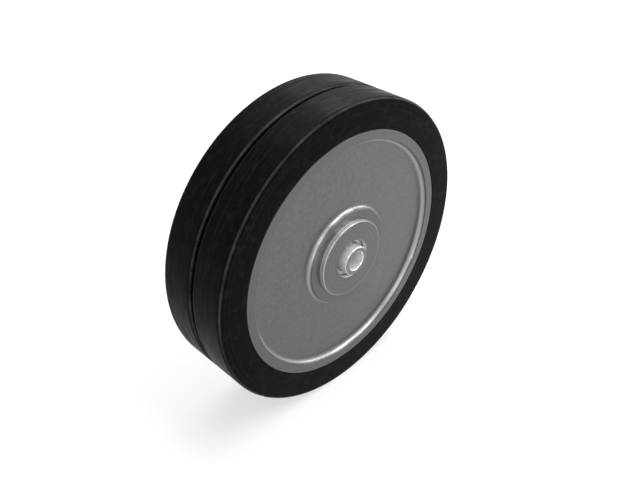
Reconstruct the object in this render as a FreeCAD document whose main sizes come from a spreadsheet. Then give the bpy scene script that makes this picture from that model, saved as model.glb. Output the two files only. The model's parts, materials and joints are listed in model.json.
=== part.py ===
import FreeCAD, Part
import math
import os
import Sketcher

# A rubber-tyred wheel that runs on two ball bearings over a spanner bushing.
# The origin is the wheel's centre, the axle lies along Y, and Z is up.
# All sizes are in millimetres.

SIZES = {
    # tyre
    "wheel_diameter": 203.2,
    "tread_width": 50.8,
    "tyre_thickness": 19.05,
    "shoulder_radius": 2.54,
    "groove_width": 1.8,
    "groove_depth": 4.8,
    "groove_lip_radius": 2.54,
    "groove_floor_radius": 0.6,
    # wheel centre
    "rim_face_width": 6.15,
    "key_width": 5.0,
    "key_depth": 2.0,
    "key_offset": 12.0,
    "key_chamfer": 0.8,
    "rim_edge_chamfer": 0.35,
    "recess_depth": 3.5,
    "rim_fillet": 3.2,
    "boss_diameter": 63.5,
    "boss_setback": 0.3,
    "boss_fillet": 2.9,
    "face_edge_radius": 0.25,
    "hub_shoulder_height": 2.8,
    # bearing
    "bearing_diameter": 47.0,
    "bearing_width": 14.0,
    "ball_diameter": 7.938,
    "balls_per_bearing": 8,
    "race_clearance": 0.05,
    "race_conformity": 0.52,
    "race_depth": 1.45,
    "ring_chamfer": 0.8,
    "land_chamfer": 0.3,
    # shields
    "shield_thickness": 0.4,
    "shield_setback": 0.4,
    "shield_rim_height": 0.7,
    "shield_rim_width": 1.0,
    "shield_seat_depth": 1.45,
    "shield_lip": 0.35,
    "shield_clearance": 0.3,
    # cage
    "cage_thickness": 0.7,
    "cage_width": 3.6,
    "pocket_clearance": 0.1,
    "rivet_diameter": 1.2,
    "rivet_head_diameter": 2.1,
    "rivet_head_height": 0.45,
    "rivet_brim_height": 0.2,
    "rivet_crown_diameter": 0.8,
    # bearing covers
    "cover_diameter": 50.8,
    "cover_thickness": 3.175,
    "cover_hole_diameter": 25.4,
    "cover_relief": 0.6,
    "cover_bearing_land": 2.0,
    "cover_edge_radius": 0.5,
    "skirt_wall": 1.0,
    "skirt_depth": 2.5,
    "skirt_end_gap": 0.1,
    # bushing and spacer
    "bushing_diameter": 19.05,
    "axle_bore": 12.7,
    "bushing_length": 63.5,
    "bushing_chamfer": 0.5,
    "spacer_wall": 2.6,
    "spacer_bore_clearance": 0.1,
    "smallest_wall": 0.05,
}

# Lengths that several pieces share, as formulas over the sizes above
WHEEL_RADIUS = "Sizes.wheel_diameter / 2"
HALF_WIDTH = "Sizes.tread_width / 2"
RIM_RADIUS = f"({WHEEL_RADIUS} - Sizes.tyre_thickness)"
RIM_FACE_RADIUS = f"({RIM_RADIUS} - Sizes.rim_face_width)"
KEY_BOTTOM = f"({RIM_RADIUS} - Sizes.key_depth)"
KEY_NEAR = "(Sizes.key_offset - Sizes.key_width / 2)"
KEY_FAR = "(Sizes.key_offset + Sizes.key_width / 2)"
WEB_FACE = "(Sizes.tread_width / 2 - Sizes.recess_depth)"
BOSS_RADIUS = "Sizes.boss_diameter / 2"
BOSS_FACE = "(Sizes.tread_width / 2 - Sizes.boss_setback)"
BEARING_RADIUS = "Sizes.bearing_diameter / 2"
BEARING_HALF = "Sizes.bearing_width / 2"
BEARING_CENTRE = f"({BOSS_FACE} - Sizes.bearing_width / 2)"
BEARING_INSIDE = f"({BOSS_FACE} - Sizes.bearing_width)"
BORE_RADIUS = "Sizes.bushing_diameter / 2"
BALL_RADIUS = "Sizes.ball_diameter / 2"
PITCH_RADIUS = "(Sizes.bearing_diameter + Sizes.bushing_diameter) / 4"
RACE_RADIUS = "Sizes.race_conformity * Sizes.ball_diameter"
RACE_OFFSET = f"({BALL_RADIUS} + Sizes.race_clearance - {RACE_RADIUS})"
LAND_OFFSET = f"({BALL_RADIUS} + Sizes.race_clearance - Sizes.race_depth)"
INNER_LAND = f"({PITCH_RADIUS} - {LAND_OFFSET})"
OUTER_LAND = f"({PITCH_RADIUS} + {LAND_OFFSET})"
SHIELD_SEAT = f"({OUTER_LAND} + Sizes.shield_seat_depth)"
SHIELD_MOUTH = f"({SHIELD_SEAT} - Sizes.shield_lip)"
SHIELD_OUTSIDE = f"({BEARING_HALF} - Sizes.shield_setback)"
SHIELD_LEDGE = f"({SHIELD_OUTSIDE} - Sizes.shield_rim_height)"
CAGE_INSIDE = f"({PITCH_RADIUS} - Sizes.cage_width / 2)"
CAGE_OUTSIDE = f"({PITCH_RADIUS} + Sizes.cage_width / 2)"
POCKET_RADIUS = f"({BALL_RADIUS} + Sizes.pocket_clearance)"
DOME_RADIUS = f"({POCKET_RADIUS} + Sizes.cage_thickness)"
SKIRT_RADIUS = f"({BEARING_RADIUS} + Sizes.skirt_wall)"

BALL_STEP = "360 / Sizes.balls_per_bearing"
RIVET_ANGLE = "180 / Sizes.balls_per_bearing"

Z_DIRECTION = FreeCAD.Vector(0, 0, 1)
SIDES = {"front": -1, "back": 1}

# Where a sketch's points start and how large its curves start, before their dimensions set them
ROUGH_PLACE = 20.0
ROUGH_SIZE = 5.0

# How closely an edge must match the corner that it is named after
MATCH = 1e-4

doc = FreeCAD.newDocument("ball_bearing_wheel")
sheet = doc.addObject("Spreadsheet::Sheet", "Sizes")
for row, (alias, value) in enumerate(SIZES.items(), start=1):
    sheet.set(f"A{row}", alias)
    sheet.set(f"B{row}", str(value))
    sheet.setAlias(f"B{row}", alias)
doc.recompute()

sub_parts = []


def origin_feature(body, role):
    """One of the body's own base planes or axes."""
    return next(item for item in body.Origin.OriginFeatures if item.Role == role)


def new_body(label):
    """An empty body that becomes one sub-part."""
    body = doc.addObject("PartDesign::Body", label)
    body.Label = label
    sub_parts.append(body)
    return body


def new_sketch(body, name, plane="XY_Plane"):
    """A sketch on one of the body's own planes."""
    sketch = body.newObject("Sketcher::SketchObject", name)
    sketch.AttachmentSupport = [(origin_feature(body, plane), "")]
    sketch.MapMode = "FlatFace"
    return sketch


def pin(sketch, constraint, name, formula):
    """Add one dimension and tie it to its formula."""
    index = sketch.addConstraint(constraint)
    sketch.renameConstraint(index, name)
    sketch.setExpression(f"Constraints.{name}", formula)


def draw_outline(sketch, corners):
    """A closed outline. Each corner is its name, its radius and its place along the axle."""
    count = len(corners)
    start = [FreeCAD.Vector(ROUGH_PLACE + step, ROUGH_PLACE + step * step, 0) for step in range(count)]
    for step in range(count):
        sketch.addGeometry(Part.LineSegment(start[step], start[(step + 1) % count]), False)
    joins = [Sketcher.Constraint("Coincident", step, 2, (step + 1) % count, 1) for step in range(count)]
    sketch.addConstraint(joins)
    for step, (name, radius, place) in enumerate(corners):
        across = Sketcher.Constraint("DistanceX", -1, 1, step, 1, start[step].x)
        along = Sketcher.Constraint("DistanceY", -1, 1, step, 1, start[step].y)
        pin(sketch, across, f"{name}_radius", radius)
        pin(sketch, along, f"{name}_place", place)


def draw_circle(sketch, across, along, radius):
    """A circle whose centre and radius follow their formulas."""
    centre = FreeCAD.Vector(ROUGH_PLACE, ROUGH_PLACE, 0)
    sketch.addGeometry(Part.Circle(centre, Z_DIRECTION, ROUGH_SIZE), False)
    pin(sketch, Sketcher.Constraint("DistanceX", -1, 1, 0, 3, centre.x), "centre_across", across)
    pin(sketch, Sketcher.Constraint("DistanceY", -1, 1, 0, 3, centre.y), "centre_along", along)
    pin(sketch, Sketcher.Constraint("Radius", 0, ROUGH_SIZE), "circle_radius", radius)


def draw_quarter_disc(sketch, radius):
    """A quarter disc beside a ball's own axis, below the bearing's middle plane."""
    centre = FreeCAD.Vector(ROUGH_PLACE, 0, 0)
    low = FreeCAD.Vector(ROUGH_PLACE, -ROUGH_SIZE, 0)
    side = FreeCAD.Vector(ROUGH_PLACE + ROUGH_SIZE, 0, 0)
    circle = Part.Circle(centre, Z_DIRECTION, ROUGH_SIZE)
    sketch.addGeometry(Part.LineSegment(centre, low), False)
    sketch.addGeometry(Part.ArcOfCircle(circle, -math.pi / 2, 0), False)
    sketch.addGeometry(Part.LineSegment(side, centre), False)
    sketch.addGeometry(Part.LineSegment(centre, low), True)
    sketch.addConstraint([
        Sketcher.Constraint("Coincident", 0, 2, 1, 1),
        Sketcher.Constraint("Coincident", 1, 2, 2, 1),
        Sketcher.Constraint("Coincident", 2, 2, 0, 1),
        Sketcher.Constraint("Coincident", 1, 3, 0, 1),
        Sketcher.Constraint("Coincident", 3, 1, 0, 1),
        Sketcher.Constraint("Coincident", 3, 2, 0, 2),
        Sketcher.Constraint("PointOnObject", 0, 1, -1),
        Sketcher.Constraint("Vertical", 0),
        Sketcher.Constraint("Horizontal", 2),
    ])
    across = Sketcher.Constraint("DistanceX", -1, 1, 0, 1, ROUGH_PLACE)
    pin(sketch, across, "centre_across", PITCH_RADIUS)
    pin(sketch, Sketcher.Constraint("Radius", 1, ROUGH_SIZE), "dome_radius", radius)


def revolve(body, name, kind, sketch, axis="V_Axis"):
    """Turn a sketch round the axle, or round its own centre line."""
    feature = body.newObject(f"PartDesign::{kind}", name)
    feature.Profile = sketch
    feature.ReferenceAxis = (sketch, [axis])
    feature.Angle = 360
    sketch.Visibility = False
    return feature


def turned_body(label, corners):
    """A body turned round the axle from one closed outline."""
    body = new_body(label)
    sketch = new_sketch(body, f"{label}_outline")
    draw_outline(sketch, corners)
    revolve(body, f"{label}_turned", "Revolution", sketch)
    doc.recompute()
    return body


def corner_edges(body, corners):
    """The round edges that the named corners of the body's outline leave on it."""
    outline = doc.getObject(f"{body.Name}_outline")
    names = []
    for corner in corners:
        radius = outline.getDatum(f"{corner}_radius").Value
        place = outline.getDatum(f"{corner}_place").Value
        for number, edge in enumerate(body.Tip.Shape.Edges, start=1):
            curve = edge.Curve
            if not isinstance(curve, Part.Circle) or abs(curve.Radius - radius) > MATCH:
                continue
            if abs(curve.Center.y - place) < MATCH:
                names.append(f"Edge{number}")
    return names


def round_corners(body, name, corners, radius):
    """Round the edges left by the named corners."""
    base = (body.Tip, corner_edges(body, corners))
    fillet = body.newObject("PartDesign::Fillet", name)
    fillet.Base = base
    fillet.setExpression("Radius", radius)
    doc.recompute()


def chamfer_corners(body, name, corners, size):
    """Bevel the edges left by the named corners."""
    base = (body.Tip, corner_edges(body, corners))
    chamfer = body.newObject("PartDesign::Chamfer", name)
    chamfer.Base = base
    chamfer.setExpression("Size", size)
    doc.recompute()


def repeat_round_axle(body, name, feature):
    """Repeat a feature once for each ball."""
    pattern = body.newObject("PartDesign::PolarPattern", name)
    pattern.Originals = [feature]
    pattern.Axis = (origin_feature(body, "Y_Axis"), [""])
    pattern.Angle = 360
    pattern.setExpression("Occurrences", "Sizes.balls_per_bearing")
    body.Tip = pattern
    doc.recompute()


def set_along_axle(body, place, turned_round=False):
    """Slide a sub-part along the axle, and turn it end for end where it faces the front."""
    if turned_round:
        body.Placement = FreeCAD.Placement(FreeCAD.Vector(), FreeCAD.Rotation(Z_DIRECTION, 180))
    body.setExpression("Placement.Base.y", place)


def faces_front(side, facing):
    """True for the outer piece of the front bearing and the inner piece of the back one."""
    return (side == "front") == (facing == "outer")


def make_tyre():
    """Moulded rubber tyre: flat sidewalls, rounded shoulders, one groove, and two locking ribs."""
    lip = "Sizes.groove_width / 2"
    floor = f"{WHEEL_RADIUS} - Sizes.groove_depth"
    body = turned_body("tyre", [
        ("seat_front", RIM_RADIUS, f"-{HALF_WIDTH}"),
        ("shoulder_front", WHEEL_RADIUS, f"-{HALF_WIDTH}"),
        ("lip_front", WHEEL_RADIUS, f"-{lip}"),
        ("floor_front", floor, f"-{lip}"),
        ("floor_back", floor, lip),
        ("lip_back", WHEEL_RADIUS, lip),
        ("shoulder_back", WHEEL_RADIUS, HALF_WIDTH),
        ("seat_back", RIM_RADIUS, HALF_WIDTH),
        ("rib_back_far", RIM_RADIUS, KEY_FAR),
        ("rib_back_far_tip", KEY_BOTTOM, KEY_FAR),
        ("rib_back_near_tip", KEY_BOTTOM, KEY_NEAR),
        ("rib_back_near", RIM_RADIUS, KEY_NEAR),
        ("rib_front_near", RIM_RADIUS, f"-{KEY_NEAR}"),
        ("rib_front_near_tip", KEY_BOTTOM, f"-{KEY_NEAR}"),
        ("rib_front_far_tip", KEY_BOTTOM, f"-{KEY_FAR}"),
        ("rib_front_far", RIM_RADIUS, f"-{KEY_FAR}"),
    ])
    round_corners(body, "tyre_shoulders", ["shoulder_front", "shoulder_back"], "Sizes.shoulder_radius")
    round_corners(body, "tyre_groove_lips", ["lip_front", "lip_back"], "Sizes.groove_lip_radius")
    round_corners(body, "tyre_groove_floor", ["floor_front", "floor_back"], "Sizes.groove_floor_radius")
    tips = ["rib_back_far_tip", "rib_back_near_tip", "rib_front_near_tip", "rib_front_far_tip"]
    chamfer_corners(body, "tyre_rib_tips", tips, "Sizes.key_chamfer")
    chamfer_corners(body, "tyre_seat_edges", ["seat_front", "seat_back"], "Sizes.rim_edge_chamfer")


def make_wheel_centre():
    """One casting: keyed rim, flat web between shallow recesses, hub boss with two bearing seats."""
    hub_bore = f"{BEARING_RADIUS} - Sizes.hub_shoulder_height"
    skirt_end = f"({BOSS_FACE} - Sizes.skirt_depth - Sizes.skirt_end_gap)"
    right_half = [
        ("rim_edge_back", RIM_RADIUS, HALF_WIDTH),
        ("rim_face_back", RIM_FACE_RADIUS, HALF_WIDTH),
        ("web_rim_back", RIM_FACE_RADIUS, WEB_FACE),
        ("web_boss_back", BOSS_RADIUS, WEB_FACE),
        ("boss_edge_back", BOSS_RADIUS, BOSS_FACE),
        ("skirt_mouth_back", SKIRT_RADIUS, BOSS_FACE),
        ("skirt_floor_back", SKIRT_RADIUS, skirt_end),
        ("seat_mouth_back", BEARING_RADIUS, skirt_end),
        ("seat_floor_back", BEARING_RADIUS, BEARING_INSIDE),
        ("hub_bore_back", hub_bore, BEARING_INSIDE),
    ]
    left_half = [(name.replace("back", "front"), radius, f"-{place}") for name, radius, place in right_half]
    body = turned_body("wheel_centre", right_half + left_half[::-1] + [
        ("key_front_far", RIM_RADIUS, f"-{KEY_FAR}"),
        ("key_front_far_floor", KEY_BOTTOM, f"-{KEY_FAR}"),
        ("key_front_near_floor", KEY_BOTTOM, f"-{KEY_NEAR}"),
        ("key_front_near", RIM_RADIUS, f"-{KEY_NEAR}"),
        ("key_back_near", RIM_RADIUS, KEY_NEAR),
        ("key_back_near_floor", KEY_BOTTOM, KEY_NEAR),
        ("key_back_far_floor", KEY_BOTTOM, KEY_FAR),
        ("key_back_far", RIM_RADIUS, KEY_FAR),
    ])
    rim_wall = "Sizes.recess_depth - Sizes.face_edge_radius - Sizes.smallest_wall"
    boss_wall = f"{rim_wall} - Sizes.boss_setback"
    rim_round = f"min(Sizes.rim_fillet; {rim_wall})"
    boss_round = f"min(Sizes.boss_fillet; {boss_wall})"
    round_corners(body, "centre_rim_fillets", ["web_rim_front", "web_rim_back"], rim_round)
    round_corners(body, "centre_boss_fillets", ["web_boss_front", "web_boss_back"], boss_round)
    face_edges = ["rim_face_front", "rim_face_back", "boss_edge_front", "boss_edge_back"]
    round_corners(body, "centre_face_edges", face_edges, "Sizes.face_edge_radius")
    floors = [f"key_{side}_{end}_floor" for side in SIDES for end in ("near", "far")]
    chamfer_corners(body, "centre_key_floors", floors, "Sizes.key_chamfer")
    rim_edges = ["rim_edge_front", "rim_edge_back"]
    chamfer_corners(body, "centre_rim_edges", rim_edges, "Sizes.rim_edge_chamfer")


def make_bearing_cover(side):
    """Turned steel ring on the boss; its skirt is pressed in round the bearing's outer ring."""
    relief_radius = f"({BEARING_RADIUS} - Sizes.cover_bearing_land)"
    hole_radius = "Sizes.cover_hole_diameter / 2"
    cover_radius = "Sizes.cover_diameter / 2"
    label = f"bearing_cover_{side}"
    body = turned_body(label, [
        ("hole_inside", hole_radius, "Sizes.cover_relief"),
        ("hole_outside", hole_radius, "Sizes.cover_thickness"),
        ("rim_outside", cover_radius, "Sizes.cover_thickness"),
        ("rim_inside", cover_radius, "0"),
        ("skirt_root", SKIRT_RADIUS, "0"),
        ("skirt_end", SKIRT_RADIUS, "-Sizes.skirt_depth"),
        ("skirt_lip", BEARING_RADIUS, "-Sizes.skirt_depth"),
        ("ring_contact", BEARING_RADIUS, "0"),
        ("relief_edge", relief_radius, "0"),
        ("relief_floor", relief_radius, "Sizes.cover_relief"),
    ])
    edges = ["hole_outside", "rim_outside"]
    round_corners(body, f"{label}_edges", edges, "Sizes.cover_edge_radius")
    sign = SIDES[side]
    set_along_axle(body, f"{sign} * {BOSS_FACE}", turned_round=sign < 0)


def cut_raceway(body, offset):
    """Cut the groove that the balls run in. Its floor clears the balls by the race clearance."""
    sketch = new_sketch(body, f"{body.Name}_race")
    draw_circle(sketch, f"{PITCH_RADIUS} {offset} {RACE_OFFSET}", "0", RACE_RADIUS)
    groove = revolve(body, f"{body.Name}_raceway", "Groove", sketch)
    body.Tip = groove
    doc.recompute()


def make_inner_ring(side):
    """Hardened inner ring, a light press fit on the spanner bushing."""
    label = f"bearing_inner_ring_{side}"
    body = turned_body(label, [
        ("bore_front", BORE_RADIUS, f"-{BEARING_HALF}"),
        ("land_front", INNER_LAND, f"-{BEARING_HALF}"),
        ("land_back", INNER_LAND, BEARING_HALF),
        ("bore_back", BORE_RADIUS, BEARING_HALF),
    ])
    chamfer_corners(body, f"{label}_bore_edges", ["bore_front", "bore_back"], "Sizes.ring_chamfer")
    chamfer_corners(body, f"{label}_land_edges", ["land_front", "land_back"], "Sizes.land_chamfer")
    cut_raceway(body, "-")
    set_along_axle(body, f"{SIDES[side]} * {BEARING_CENTRE}")


def make_outer_ring(side):
    """Hardened outer ring with a snap groove for a shield at each end."""
    label = f"bearing_outer_ring_{side}"
    back_half = [
        ("rim_back", BEARING_RADIUS, BEARING_HALF),
        ("mouth_back", SHIELD_MOUTH, BEARING_HALF),
        ("mouth_floor_back", SHIELD_MOUTH, SHIELD_OUTSIDE),
        ("snap_back", SHIELD_SEAT, SHIELD_OUTSIDE),
        ("ledge_back", SHIELD_SEAT, SHIELD_LEDGE),
        ("land_back", OUTER_LAND, SHIELD_LEDGE),
    ]
    front_half = [(name.replace("back", "front"), radius, f"-{place}") for name, radius, place in back_half]
    body = turned_body(label, back_half + front_half[::-1])
    chamfer_corners(body, f"{label}_edges", ["rim_front", "rim_back"], "Sizes.ring_chamfer")
    cut_raceway(body, "+")
    set_along_axle(body, f"{SIDES[side]} * {BEARING_CENTRE}")


def make_shield(side, facing):
    """Pressed steel shield that snaps into the outer ring and clears the inner ring."""
    rim_inside = f"{SHIELD_SEAT} - Sizes.shield_rim_width"
    hole = f"{INNER_LAND} + Sizes.shield_clearance"
    body = turned_body(f"shield_{side}_{facing}", [
        ("hole_outside", hole, SHIELD_OUTSIDE),
        ("rim_outside", SHIELD_SEAT, SHIELD_OUTSIDE),
        ("rim_ledge", SHIELD_SEAT, SHIELD_LEDGE),
        ("rim_step", rim_inside, SHIELD_LEDGE),
        ("rim_root", rim_inside, f"{SHIELD_OUTSIDE} - Sizes.shield_thickness"),
        ("hole_inside", hole, f"{SHIELD_OUTSIDE} - Sizes.shield_thickness"),
    ])
    set_along_axle(body, f"{SIDES[side]} * {BEARING_CENTRE}", faces_front(side, facing))


def make_cage_half(side, facing):
    """Half of a pressed steel ribbon cage: flat lands between domes that each hold a ball."""
    label = f"cage_{side}_{facing}_half"
    body = new_body(label)

    ring = new_sketch(body, f"{label}_ring")
    draw_outline(ring, [
        ("inside_middle", CAGE_INSIDE, "0"),
        ("outside_middle", CAGE_OUTSIDE, "0"),
        ("outside_face", CAGE_OUTSIDE, "-Sizes.cage_thickness"),
        ("inside_face", CAGE_INSIDE, "-Sizes.cage_thickness"),
    ])
    revolve(body, f"{label}_lands", "Revolution", ring)

    dome_sketch = new_sketch(body, f"{label}_dome_section")
    draw_quarter_disc(dome_sketch, DOME_RADIUS)
    dome = revolve(body, f"{label}_dome", "Revolution", dome_sketch, "Axis0")
    doc.recompute()
    repeat_round_axle(body, f"{label}_domes", dome)

    past_domes = f"2 * {DOME_RADIUS}"
    trims = {
        "inner": (f"{PITCH_RADIUS} - {past_domes}", CAGE_INSIDE),
        "outer": (CAGE_OUTSIDE, f"{PITCH_RADIUS} + {past_domes}"),
    }
    for edge, (low, high) in trims.items():
        trim_sketch = new_sketch(body, f"{label}_{edge}_trim_section")
        draw_outline(trim_sketch, [
            ("low_outside", low, f"-{past_domes}"),
            ("high_outside", high, f"-{past_domes}"),
            ("high_inside", high, past_domes),
            ("low_inside", low, past_domes),
        ])
        body.Tip = revolve(body, f"{label}_{edge}_trim", "Groove", trim_sketch)
        doc.recompute()

    pocket_sketch = new_sketch(body, f"{label}_pocket_section")
    draw_quarter_disc(pocket_sketch, POCKET_RADIUS)
    pocket = revolve(body, f"{label}_pocket", "Groove", pocket_sketch, "Axis0")
    doc.recompute()
    repeat_round_axle(body, f"{label}_pockets", pocket)

    hole_sketch = new_sketch(body, f"{label}_rivet_hole_section", "XZ_Plane")
    across = f"{PITCH_RADIUS} * cos({RIVET_ANGLE})"
    up = f"{PITCH_RADIUS} * sin({RIVET_ANGLE})"
    draw_circle(hole_sketch, across, up, "Sizes.rivet_diameter / 2")
    hole = body.newObject("PartDesign::Pocket", f"{label}_rivet_hole")
    hole.Profile = hole_sketch
    hole.Type = "Length"
    hole.Reversed = True
    hole.setExpression("Length", "2 * Sizes.cage_thickness")
    doc.recompute()
    repeat_round_axle(body, f"{label}_rivet_holes", hole)

    set_along_axle(body, f"{SIDES[side]} * {BEARING_CENTRE}", not faces_front(side, facing))


def make_cage_rivets(side):
    """The rivets that hold a cage's halves together, one between each two balls."""
    label = f"cage_{side}_rivets"
    body = new_body(label)
    body.AllowCompound = True
    shank = f"{PITCH_RADIUS} + Sizes.rivet_diameter / 2"
    head = f"{PITCH_RADIUS} + Sizes.rivet_head_diameter / 2"
    crown = f"{PITCH_RADIUS} + Sizes.rivet_crown_diameter / 2"
    under = "Sizes.cage_thickness"
    top = "(Sizes.cage_thickness + Sizes.rivet_head_height)"
    brim = "(Sizes.cage_thickness + Sizes.rivet_brim_height)"
    corners = [
        ("axis_low", PITCH_RADIUS, f"-{top}"),
        ("crown_low", crown, f"-{top}"),
        ("brim_low", head, f"-{brim}"),
        ("head_low", head, f"-{under}"),
        ("shank_low", shank, f"-{under}"),
        ("shank_high", shank, under),
        ("head_high", head, under),
        ("brim_high", head, brim),
        ("crown_high", crown, top),
        ("axis_high", PITCH_RADIUS, top),
    ]
    sketch = new_sketch(body, f"{label}_outline")
    draw_outline(sketch, corners)
    centre_line = len(corners)
    closing_line = centre_line - 1
    sketch.addGeometry(Part.LineSegment(FreeCAD.Vector(), FreeCAD.Vector(0, ROUGH_SIZE, 0)), True)
    sketch.addConstraint([
        Sketcher.Constraint("Coincident", centre_line, 1, closing_line, 2),
        Sketcher.Constraint("Coincident", centre_line, 2, closing_line, 1),
    ])
    rivet = revolve(body, f"{label}_turned", "Revolution", sketch, "Axis0")
    doc.recompute()
    repeat_round_axle(body, f"{label}_round", rivet)
    body.setExpression("Placement.Rotation.Angle", RIVET_ANGLE)
    body.setExpression("Placement.Rotation.Axis.x", "0")
    body.setExpression("Placement.Rotation.Axis.y", "1")
    body.setExpression("Placement.Rotation.Axis.z", "0")
    body.setExpression("Placement.Base.y", f"{SIDES[side]} * {BEARING_CENTRE}")


def make_balls(side):
    """The bearing's balls, evenly spaced round its pitch circle."""
    for number in range(SIZES["balls_per_bearing"]):
        ball = doc.addObject("Part::Sphere", f"ball_{side}_{number + 1}")
        ball.Label = ball.Name
        ball.setExpression("Radius", BALL_RADIUS)
        ball.setExpression("Placement.Base.x", f"{PITCH_RADIUS} * cos({number} * {BALL_STEP})")
        ball.setExpression("Placement.Base.y", f"{SIDES[side]} * {BEARING_CENTRE}")
        ball.setExpression("Placement.Base.z", f"{PITCH_RADIUS} * sin({number} * {BALL_STEP})")
        sub_parts.append(ball)


def make_spanner_bushing():
    """Steel tube through both bearings; the axle bolt clamps its ends."""
    body = turned_body("spanner_bushing", [
        ("bore_front", "Sizes.axle_bore / 2", "-Sizes.bushing_length / 2"),
        ("outside_front", BORE_RADIUS, "-Sizes.bushing_length / 2"),
        ("outside_back", BORE_RADIUS, "Sizes.bushing_length / 2"),
        ("bore_back", "Sizes.axle_bore / 2", "Sizes.bushing_length / 2"),
    ])
    corners = ["bore_front", "outside_front", "outside_back", "bore_back"]
    chamfer_corners(body, "spanner_bushing_chamfers", corners, "Sizes.bushing_chamfer")


def make_spacer_tube():
    """Tube over the bushing that keeps the two inner rings apart."""
    bore = f"{BORE_RADIUS} + Sizes.spacer_bore_clearance"
    outside = f"{bore} + Sizes.spacer_wall"
    turned_body("spacer_tube", [
        ("bore_front", bore, f"-{BEARING_INSIDE}"),
        ("outside_front", outside, f"-{BEARING_INSIDE}"),
        ("outside_back", outside, BEARING_INSIDE),
        ("bore_back", bore, BEARING_INSIDE),
    ])


make_tyre()
make_wheel_centre()
make_spanner_bushing()
make_spacer_tube()
for side in SIDES:
    make_bearing_cover(side)
    make_inner_ring(side)
    make_outer_ring(side)
    for facing in ("outer", "inner"):
        make_shield(side, facing)
        make_cage_half(side, facing)
    make_cage_rivets(side)
    make_balls(side)
doc.recompute()

faults = [item.Name for item in doc.Objects if {"Invalid", "Error"} & set(item.State)]
for piece in sub_parts:
    if piece.Shape.isNull() or not piece.Shape.isValid():
        faults.append(piece.Label)
if faults:
    raise RuntimeError("These did not build: " + ", ".join(faults))

os.makedirs("parts", exist_ok=True)
for piece in sub_parts:
    piece.Shape.exportStep(f"parts/{piece.Label}.step")
    print(f"{piece.Label}: {len(piece.Shape.Solids)} solid, {piece.Shape.Volume:.1f} mm3")
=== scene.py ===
import json
import math

import bpy
from mathutils import Matrix, Vector


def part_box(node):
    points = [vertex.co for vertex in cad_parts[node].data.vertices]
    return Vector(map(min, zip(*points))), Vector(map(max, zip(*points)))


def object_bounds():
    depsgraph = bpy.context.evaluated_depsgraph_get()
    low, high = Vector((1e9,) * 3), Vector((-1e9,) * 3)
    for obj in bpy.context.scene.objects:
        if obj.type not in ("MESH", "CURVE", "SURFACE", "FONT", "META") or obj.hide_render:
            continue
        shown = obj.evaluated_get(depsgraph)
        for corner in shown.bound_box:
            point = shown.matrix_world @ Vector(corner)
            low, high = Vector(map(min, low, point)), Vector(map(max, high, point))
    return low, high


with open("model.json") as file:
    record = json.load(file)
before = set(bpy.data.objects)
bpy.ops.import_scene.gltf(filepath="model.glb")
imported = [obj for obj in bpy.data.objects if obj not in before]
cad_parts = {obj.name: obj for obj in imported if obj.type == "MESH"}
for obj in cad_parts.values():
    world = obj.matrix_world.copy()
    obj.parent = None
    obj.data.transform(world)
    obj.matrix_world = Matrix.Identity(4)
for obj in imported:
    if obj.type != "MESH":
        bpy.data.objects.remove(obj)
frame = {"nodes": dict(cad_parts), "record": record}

# Looks for a ball bearing wheel. Everything is in metres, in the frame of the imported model:
# the origin is the wheel's centre, the axle lies along Y, and Z is up.

MM = 0.001
CAD_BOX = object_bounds()
SCENE = bpy.context.scene


def node_radius(name):
    """Largest radius of a round node, from its box."""
    low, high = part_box(name)
    return (high.x - low.x) / 2


def node_depth(name):
    """How far a node reaches along the axle, from the wheel's middle."""
    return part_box(name)[1].y


# Where the finishes change. Radii are from the axle, depths along it from the wheel's middle.
WHEEL_RADIUS = node_radius("tyre")
RIM_RADIUS = node_radius("wheel_centre")
COVER_RADIUS = node_radius("bearing_cover_back")
COVER_HOLE_RADIUS = 12.7 * MM
BORE_RADIUS = 6.35 * MM
HALF_WIDTH = node_depth("tyre")
WEB_DEPTH = HALF_WIDTH - 3.5 * MM
COVER_FACE = node_depth("bearing_cover_back")
BUSHING_END = node_depth("spanner_bushing")
GROOVE_HALF_WIDTH = 0.9 * MM
EDGE_MIDDLE = 0.75 * MM      # how far the middle of a tyre edge's round lies inside its corner
TYRE_PALE_EDGE_REACH = 1.1 * MM          # how far a tyre edge's paler band, partly wear and partly a painted highlight, reaches each way from that middle
COVER_RUB = 0.9 * MM         # how far the cover's corner is rubbed

# Spacing of the marks that moulds and tools leave
MOULD_RINGS = 1.6 * MM
TREAD_LINES = 0.8 * MM
CASTING_FINE_RINGS = 0.28 * MM
CASTING_COARSE_RINGS = 1.3 * MM
COVER_RINGS = 0.24 * MM
BUSHING_RINGS = 0.20 * MM

# Steel of the pieces inside the hub: grey, roughness, spacing and height of its rings
HUB_STEELS = {
    "bearing_steel": (0.34, 0.12, 0.12 * MM, 0.002 * MM),
    "shield_steel": (0.20, 0.24, 0.25 * MM, 0.004 * MM),
    "cage_steel": (0.28, 0.28, 0.25 * MM, 0.004 * MM),
}


# ---------------------------------------------------------------- materials


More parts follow.
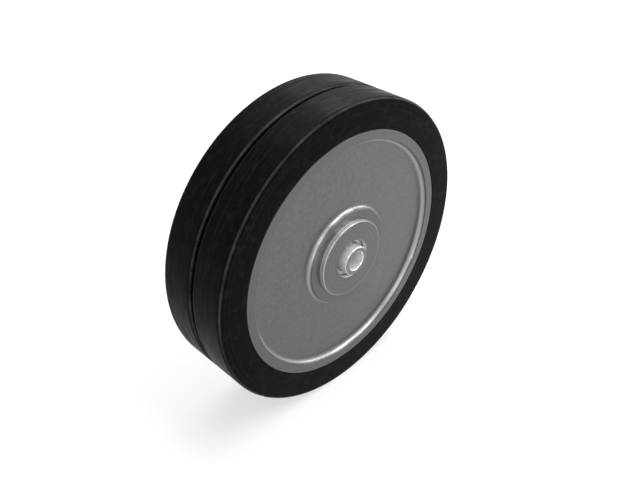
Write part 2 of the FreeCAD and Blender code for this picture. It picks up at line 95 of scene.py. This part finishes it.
class Shader:
    """A short way to write a material's nodes."""

    def __init__(self, name):
        self.material = bpy.data.materials.new(name)
        self.material.use_nodes = True
        self.tree = self.material.node_tree
        self.tree.nodes.clear()
        self.output = self.tree.nodes.new("ShaderNodeOutputMaterial")
        self.surface = self.tree.nodes.new("ShaderNodeBsdfPrincipled")
        self.tree.links.new(self.surface.outputs[0], self.output.inputs["Surface"])
        self.place = self.tree.nodes.new("ShaderNodeTexCoord").outputs["Object"]
        parts = self.node("ShaderNodeSeparateXYZ", Vector=self.place)
        x, self.y, z = parts.outputs
        self.depth = self.math("ABSOLUTE", self.y)
        self.radius = self.length(self.vector(x=x, z=z))
        self.turn = self.math("ARCTAN2", z, x)

    def feed(self, socket, value):
        """Set a socket to a number or colour, or join another socket to it."""
        if isinstance(value, bpy.types.NodeSocket):
            self.tree.links.new(value, socket)
        else:
            socket.default_value = value

    def node(self, kind, **inputs):
        """A node with its named inputs set to values or joined to sockets."""
        made = self.tree.nodes.new(kind)
        for key, value in inputs.items():
            self.feed(made.inputs[key.replace("_", " ")], value)
        return made

    def math(self, operation, first, second=0.0):
        """One sum on plain values."""
        made = self.tree.nodes.new("ShaderNodeMath")
        made.operation = operation
        self.feed(made.inputs[0], first)
        self.feed(made.inputs[1], second)
        return made.outputs[0]

    def add(self, *values):
        """Several values added up."""
        total = values[0]
        for value in values[1:]:
            total = self.math("ADD", total, value)
        return total

    def times(self, *values):
        """Several values multiplied."""
        total = values[0]
        for value in values[1:]:
            total = self.math("MULTIPLY", total, value)
        return total

    def rest(self, share):
        """What a share leaves of 1."""
        return self.math("SUBTRACT", 1.0, share)

    def blend(self, first, second, share):
        """Two values added up, the second with this share and the first with what it leaves."""
        return self.add(self.times(first, 1.0 - share), self.times(second, share))

    def vector(self, x=0.0, y=0.0, z=0.0):
        """A vector from three values."""
        return self.node("ShaderNodeCombineXYZ", X=x, Y=y, Z=z).outputs[0]

    def length(self, vector):
        """Length of a vector."""
        made = self.tree.nodes.new("ShaderNodeVectorMath")
        made.operation = "LENGTH"
        self.tree.links.new(vector, made.inputs[0])
        return made.outputs["Value"]

    def noise(self, scale, detail, roughness, where=None):
        """Cloudy noise from 0 to 1, with the scale in cells for each metre."""
        made = self.node("ShaderNodeTexNoise", Scale=scale, Detail=detail, Roughness=roughness)
        self.tree.links.new(where or self.place, made.inputs["Vector"])
        return made.outputs["Fac"]

    def ramp(self, value, low, high, to_low=0.0, to_high=1.0, smooth=False):
        """Map values from low to high onto to_low to to_high."""
        made = self.tree.nodes.new("ShaderNodeMapRange")
        made.clamp = True
        if smooth:
            made.interpolation_type = "SMOOTHSTEP"
        self.feed(made.inputs["Value"], value)
        made.inputs["From Min"].default_value = low
        made.inputs["From Max"].default_value = high
        made.inputs["To Min"].default_value = to_low
        made.inputs["To Max"].default_value = to_high
        return made.outputs["Result"]

    def band(self, value, centre, half):
        """1 at the centre, falling to 0 at the distance half from it."""
        away = self.math("ABSOLUTE", self.math("SUBTRACT", value, centre))
        return self.ramp(away, 0.0, half, 1.0, 0.0, smooth=True)

    def hole_wall(self, radius, reach):
        """1 on the wall of a hole on the axle, falling to 0 at the distance reach outside it."""
        return self.ramp(self.radius, radius + 0.05 * MM, radius + reach, 1.0, 0.0, smooth=True)

    def mix(self, share, first, second):
        """Blend two values or colours."""
        made = self.tree.nodes.new("ShaderNodeMix")
        made.data_type = "RGBA"
        self.feed(made.inputs["Factor"], share)
        self.feed(made.inputs[6], first)
        self.feed(made.inputs[7], second)
        return made.outputs[2]

    def bump(self, height, distance, strength, under=None):
        """Turn a height into a surface normal."""
        made = self.node("ShaderNodeBump", Height=height, Distance=distance, Strength=strength)
        if under is not None:
            self.tree.links.new(under, made.inputs["Normal"])
        return made.outputs["Normal"]

    def set(self, **inputs):
        """Set inputs of the surface shader by name."""
        for key, value in inputs.items():
            self.feed(self.surface.inputs[key.replace("_", " ")], value)

    def rings(self, pitch, waver):
        """Rings round the axle as a lathe leaves them, on faces and on round walls, from 0 to 1."""
        drift = self.times(self.noise(30.0, 2.0, 0.5), waver)
        across = self.add(self.times(self.radius, 1 / pitch), self.times(self.y, 1 / pitch), drift)
        return self.noise(1.0, 3.0, 0.6, where=self.vector(x=across))

    def lathe_marks(self, fine_pitch, coarse_pitch):
        """Coarse rings, lines for the colour and ridges for the bump, each from 0 to 1."""
        fine = self.rings(fine_pitch, 0.3)
        coarse = self.rings(coarse_pitch, 0.3)
        lines = self.ramp(self.blend(fine, coarse, 0.5), 0.32, 0.68)
        return coarse, lines, self.blend(fine, coarse, 0.7)

    def streaks(self, for_each_radian, for_each_metre, detail, roughness):
        """Noise from 0 to 1, drawn out round the tread: few cells along it, many across it."""
        along = self.times(self.turn, for_each_radian)
        across = self.times(self.y, for_each_metre)
        return self.noise(1.0, detail, roughness, where=self.vector(x=along, y=across))


def grey(value):
    """An even grey."""
    return (value, value, value, 1.0)


def tyre_rubber():
    """Moulded black rubber: rings from the mould on the sidewall, scuffs along the tread."""
    s = Shader("tyre_rubber")
    dusty = grey(0.018)
    tread = s.ramp(s.radius, WHEEL_RADIUS - 2.4 * MM, WHEEL_RADIUS - 0.6 * MM, smooth=True)
    wall = s.rest(tread)
    cloud = s.noise(30.0, 4.0, 0.6)
    rings = s.rings(MOULD_RINGS, 0.2)
    bloom = s.ramp(s.noise(220.0, 6.0, 0.75), 0.50, 0.85)
    scuff = s.times(s.ramp(s.streaks(7.0, 700.0, 5.0, 0.65), 0.54, 0.76), tread)

    # Colour: black, dusty where it blooms and along the rings and scuffs, paler on the edges
    shade = s.mix(cloud, grey(0.0008), grey(0.0020))
    shade = s.mix(s.times(bloom, s.add(0.6, s.times(wall, 0.2))), shade, dusty)
    ring_share = s.add(0.4, s.times(wall, 0.25))
    shade = s.mix(s.times(s.ramp(rings, 0.52, 0.72), ring_share), shade, dusty)
    shade = s.mix(s.times(scuff, 0.7), shade, dusty)
    # The paler edges on shoulders and groove lips are partly wear and partly a painted highlight
    corner = s.band(s.radius, WHEEL_RADIUS - EDGE_MIDDLE, TYRE_PALE_EDGE_REACH)
    shoulder = s.band(s.depth, HALF_WIDTH - EDGE_MIDDLE, TYRE_PALE_EDGE_REACH)
    groove_lip = s.band(s.depth, GROOVE_HALF_WIDTH + EDGE_MIDDLE, TYRE_PALE_EDGE_REACH)
    patches = s.ramp(s.noise(45.0, 5.0, 0.7), 0.30, 0.62)
    rubbed_and_highlit = s.times(corner, s.add(shoulder, groove_lip), patches)
    s.set(Base_Color=s.mix(rubbed_and_highlit, shade, grey(0.052)))

    # Gloss: satin, smoother and rougher by turns in worn streaks, dull on scuffs
    worn = s.times(tread, s.ramp(s.streaks(3.0, 300.0, 4.0, 0.6), 0.35, 0.65, -0.12, 0.08))
    rough = s.add(s.ramp(cloud, 0.3, 0.7, 0.35, 0.43), worn, s.times(scuff, 0.12))
    s.set(Roughness=rough, Specular_IOR_Level=0.028)

    # Relief: fine grain, with rings on the sidewall and lines round the tread
    grain = s.noise(2400.0, 3.0, 0.6)
    line_place = s.vector(x=s.times(s.y, 1 / TREAD_LINES), y=s.times(s.turn, 3.0))
    lines = s.noise(1.0, 3.0, 0.6, where=line_place)
    height = s.mix(tread, s.blend(grain, rings, 0.75), s.blend(grain, lines, 0.70))
    s.set(Normal=s.bump(height, 0.08 * MM, 0.8))
    return s.material


def cast_aluminium():
    """Grey casting: a mottled cast skin on the web, turned rings on the rim and boss faces."""
    s = Shader("cast_aluminium")
    face = s.ramp(s.depth, HALF_WIDTH - 0.50 * MM, HALF_WIDTH - 0.40 * MM)
    above_web = s.ramp(s.depth, WEB_DEPTH, WEB_DEPTH + 0.8 * MM, smooth=True)
    joint = s.ramp(s.radius, RIM_RADIUS - 0.45 * MM, RIM_RADIUS - 0.25 * MM)
    cloud = s.noise(24.0, 4.0, 0.55)
    mottle = s.noise(320.0, 3.0, 0.55)
    grain = s.noise(850.0, 2.0, 0.5)
    coarse, lines, ridges = s.lathe_marks(CASTING_FINE_RINGS, CASTING_COARSE_RINGS)

    # Colour: cast skin, turned faces, lighter fillets, and a dark line at the joint with the tyre
    skin = s.mix(cloud, grey(0.086), grey(0.118))
    skin = s.mix(s.ramp(mottle, 0.30, 0.72, 0.0, 0.5), skin, grey(0.147))
    skin = s.mix(s.ramp(grain, 0.35, 0.70, 0.0, 0.5), skin, grey(0.163))
    turned = s.mix(lines, grey(0.073), grey(0.148))
    # The fillets' lighter grey is partly polish and partly a painted highlight and sheen
    polished_and_highlit_fillet = s.times(above_web, s.rest(face))
    shade = s.mix(polished_and_highlit_fillet, s.mix(face, skin, turned), grey(0.30))
    s.set(Base_Color=s.mix(joint, shade, grey(0.012)), Metallic=0.85)

    # Gloss
    cast_rough = s.ramp(s.blend(cloud, mottle, 0.5), 0.35, 0.65, 0.27, 0.37)
    turned_rough = s.ramp(coarse, 0.3, 0.7, 0.22, 0.34)
    s.set(Roughness=s.mix(face, cast_rough, turned_rough))

    # Relief: the web's pebbled skin fades out up the fillets, and the faces' ridges fade in
    pebble_share = s.rest(s.math("MAXIMUM", face, s.times(above_web, 0.9)))
    pebble = s.times(s.blend(grain, mottle, 0.5), pebble_share)
    ridge_share = s.ramp(s.depth, WEB_DEPTH + 0.3 * MM, HALF_WIDTH - 0.5 * MM, smooth=True)
    pebbled = s.bump(pebble, 0.12 * MM, 0.7)
    s.set(Normal=s.bump(s.times(ridges, ridge_share), 0.03 * MM, 0.8, under=pebbled))
    return s.material


def turned_metal(name, shade, rough, pitch, height):
    """Turned steel with fine rings. It also gives its lines, from 0 to 1, and its plain colour."""
    s = Shader(name)
    cloud = s.noise(90.0, 3.0, 0.6)
    _, lines, ridges = s.lathe_marks(pitch, pitch * 5)
    plain = s.mix(lines, grey(shade * 0.88), grey(shade * 1.14))
    plain = s.mix(s.ramp(cloud, 0.3, 0.8, 0.0, 0.35), plain, grey(shade * 0.86))
    s.set(Base_Color=plain, Metallic=0.6)
    s.set(Roughness=s.add(s.ramp(lines, 0.0, 1.0, rough, rough + 0.09), s.times(cloud, 0.05)))
    s.set(Normal=s.bump(ridges, height, 0.8))
    return s, lines, plain


def cover_steel():
    """Turned cover: satin face, a rubbed corner, a wall partly turned bright and partly a painted
    highlight, and painted light in the hole.
    """
    s, lines, plain = turned_metal("cover_steel", 0.107, 0.22, COVER_RINGS, 0.025 * MM)
    wall = s.ramp(s.radius, COVER_RADIUS - 0.30 * MM, COVER_RADIUS - 0.05 * MM, smooth=True)
    near_wall = s.band(s.radius, COVER_RADIUS, COVER_RUB)
    corner = s.times(near_wall, s.band(s.depth, COVER_FACE, COVER_RUB))
    # The wall's bright grey is partly turned metal and partly a painted highlight; the rubbed
    # corner takes half of it
    bright_and_highlit = s.mix(lines, grey(0.50), grey(0.66))
    outside = s.mix(s.math("MAXIMUM", wall, s.times(corner, 0.5)), plain, bright_and_highlit)
    # The hole's wall is painted light grey where it would show dark: painted light
    s.set(Base_Color=s.mix(s.hole_wall(COVER_HOLE_RADIUS, 0.30 * MM), outside, grey(0.80)))
    return s.material


def bushing_steel():
    """Drawn tube, partly bright steel and partly a painted highlight, with painted light in its
    bore and duller cut ends.
    """
    # The tube's bright grey is partly drawn steel and partly a painted highlight on its side
    s, lines, plain = turned_metal("turned_steel", 0.76, 0.225, BUSHING_RINGS, 0.012 * MM)
    end = s.ramp(s.depth, BUSHING_END - 0.30 * MM, BUSHING_END - 0.10 * MM, smooth=True)
    # The bore is painted lighter still: painted light inside the hole
    bright_and_highlit = s.mix(s.hole_wall(BORE_RADIUS, 0.40 * MM), plain, grey(0.92))
    dull = s.mix(lines, grey(0.13), grey(0.19))
    s.set(Base_Color=s.mix(end, bright_and_highlit, dull))
    return s.material


def make_finishes():
    """One finish for each material slot of the record."""
    finishes = {
        "tyre_rubber": tyre_rubber(),
        "cast_aluminium": cast_aluminium(),
        "cover_steel": cover_steel(),
        "turned_steel": bushing_steel(),
    }
    for slot, numbers in HUB_STEELS.items():
        finishes[slot] = turned_metal(slot, *numbers)[0].material
    return finishes


def dress_cad_nodes():
    """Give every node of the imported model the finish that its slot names."""
    finishes = make_finishes()
    for entry in frame["record"]["subparts"]:
        mesh = frame["nodes"][entry["node"]].data
        mesh.materials.clear()
        mesh.materials.append(finishes[entry["material_slot"]])


# ---------------------------------------------------------------- stage and light

WORLD_LIGHT = 0.32       # how strongly the white surroundings light the wheel
FLOOR_WHITE = 1.03       # the open floor's brightness, where 1 is white
FLOOR_SHADE = 0.36       # the floor's colour to the camera: a higher one darkens the shadow
FLOOR_BOUNCE = 0.6       # the floor's colour as it lights the wheel from below
LAMP_ON_FLOOR = 0.85     # the lamps' light at the middle of the floor
FLOOR_HALF = 4.0
CAMERA_DISTANCE = 0.4553


def sees_background(tree):
    """1 for camera, glossy and transmission rays, which show the white background."""
    path = tree.nodes.new("ShaderNodeLightPath")
    total = path.outputs["Is Camera Ray"]
    for kind in ("Is Glossy Ray", "Is Transmission Ray"):
        most = tree.nodes.new("ShaderNodeMath")
        most.operation = "MAXIMUM"
        tree.links.new(total, most.inputs[0])
        tree.links.new(path.outputs[kind], most.inputs[1])
        total = most.outputs[0]
    return total


def floor_material():
    """A white floor with the wheel's soft shadow.

    It glows by as much as the lamps and the world leave it short of white.
    """
    s = Shader("white_floor")
    s.tree.nodes.remove(s.surface)
    spread = s.add(1.0, s.math("POWER", s.length(s.place), 2.0))
    lamp = s.math("DIVIDE", LAMP_ON_FLOOR, s.math("POWER", spread, 2.0))
    lit = s.times(s.add(lamp, WORLD_LIGHT), FLOOR_SHADE)
    glow = s.node("ShaderNodeEmission", Strength=s.math("SUBTRACT", FLOOR_WHITE, lit))
    shadowed = s.node("ShaderNodeBsdfDiffuse", Color=grey(FLOOR_SHADE))
    white = s.tree.nodes.new("ShaderNodeAddShader")
    s.tree.links.new(shadowed.outputs[0], white.inputs[0])
    s.tree.links.new(glow.outputs[0], white.inputs[1])
    plain = s.node("ShaderNodeBsdfDiffuse", Color=grey(FLOOR_BOUNCE))
    choice = s.tree.nodes.new("ShaderNodeMixShader")
    s.tree.links.new(sees_background(s.tree), choice.inputs[0])
    s.tree.links.new(plain.outputs[0], choice.inputs[1])
    s.tree.links.new(white.outputs[0], choice.inputs[2])
    s.tree.links.new(choice.outputs[0], s.output.inputs["Surface"])
    return s.material


def make_floor():
    """A wide pale floor under the tread."""
    mesh = bpy.data.meshes.new("floor")
    signs = [(-1, -1), (1, -1), (1, 1), (-1, 1)]
    mesh.from_pydata([(x * FLOOR_HALF, y * FLOOR_HALF, 0) for x, y in signs], [], [(0, 1, 2, 3)])
    mesh.materials.append(floor_material())
    floor = bpy.data.objects.new("floor", mesh)
    floor.location.z = CAD_BOX[0].z
    SCENE.collection.objects.link(floor)


def make_world():
    """White to the camera and to mirrors, softer as a light."""
    world = bpy.data.worlds.new("studio")
    world.use_nodes = True
    tree = world.node_tree
    tree.nodes.clear()
    output = tree.nodes.new("ShaderNodeOutputWorld")
    background = tree.nodes.new("ShaderNodeBackground")
    background.inputs["Color"].default_value = grey(1.0)
    strength = tree.nodes.new("ShaderNodeMapRange")
    strength.inputs["To Min"].default_value = WORLD_LIGHT
    strength.inputs["To Max"].default_value = 1.0
    tree.links.new(sees_background(tree), strength.inputs["Value"])
    tree.links.new(strength.outputs["Result"], background.inputs["Strength"])
    tree.links.new(background.outputs[0], output.inputs["Surface"])
    SCENE.world = world


def softbox(name, place, width, length, along, radiance):
    """A soft lamp that points at the wheel's centre, with its length along one direction.

    Its radiance is how bright a mirror shows it, where 1 is white.
    """
    lamp = bpy.data.lights.new(name, "AREA")
    lamp.shape = "RECTANGLE"
    lamp.size = width
    lamp.size_y = length
    lamp.energy = radiance * width * length * math.pi
    back = Vector(place).normalized()
    across = Vector(along).cross(back).normalized()
    holder = bpy.data.objects.new(name, lamp)
    turn = Matrix((across, back.cross(across), back)).transposed()
    holder.matrix_world = Matrix.Translation(place) @ turn.to_4x4()
    SCENE.collection.objects.link(holder)


def make_lights():
    """Long softboxes overhead and upper right, along the axle, and small ones round the front."""
    axle = (0, 1, 0)
    upright = (0, 0, 1)
    softbox("overhead", (0.15, -0.10, 1.05), 0.35, 2.0, axle, 5.2)
    softbox("upper_right", (0.72, 0.10, 0.82), 0.28, 1.5, axle, 6.5)
    softbox("upper_left", (-0.78, -0.36, 0.78), 0.25, 0.5, upright, 4.5)
    softbox("left", (-1.25, -0.50, 0.25), 0.3, 0.5, upright, 4.5)
    softbox("front", (-0.55, -1.10, 0.55), 0.35, 0.35, upright, 5.0)
    softbox("front_right", (0.62, -0.66, 0.66), 0.4, 0.4, upright, 5.5)
    softbox("right", (1.15, -0.35, 0.30), 0.4, 0.5, upright, 4.0)


def make_camera():
    """The drawing's view: from the direction (-1, -1, 1), level, aimed at the wheel's centre."""
    direction = Vector((-1, -1, 1)).normalized()
    data = bpy.data.cameras.new("camera")
    data.lens = 39.97
    data.sensor_width = 36.0
    camera = bpy.data.objects.new("camera", data)
    camera.location = direction * CAMERA_DISTANCE
    camera.rotation_euler = (-direction).to_track_quat("-Z", "Y").to_euler()
    SCENE.collection.objects.link(camera)
    SCENE.camera = camera


make_camera()
make_floor()
make_world()
make_lights()
dress_cad_nodes()
SCENE.view_settings.view_transform = "Standard"
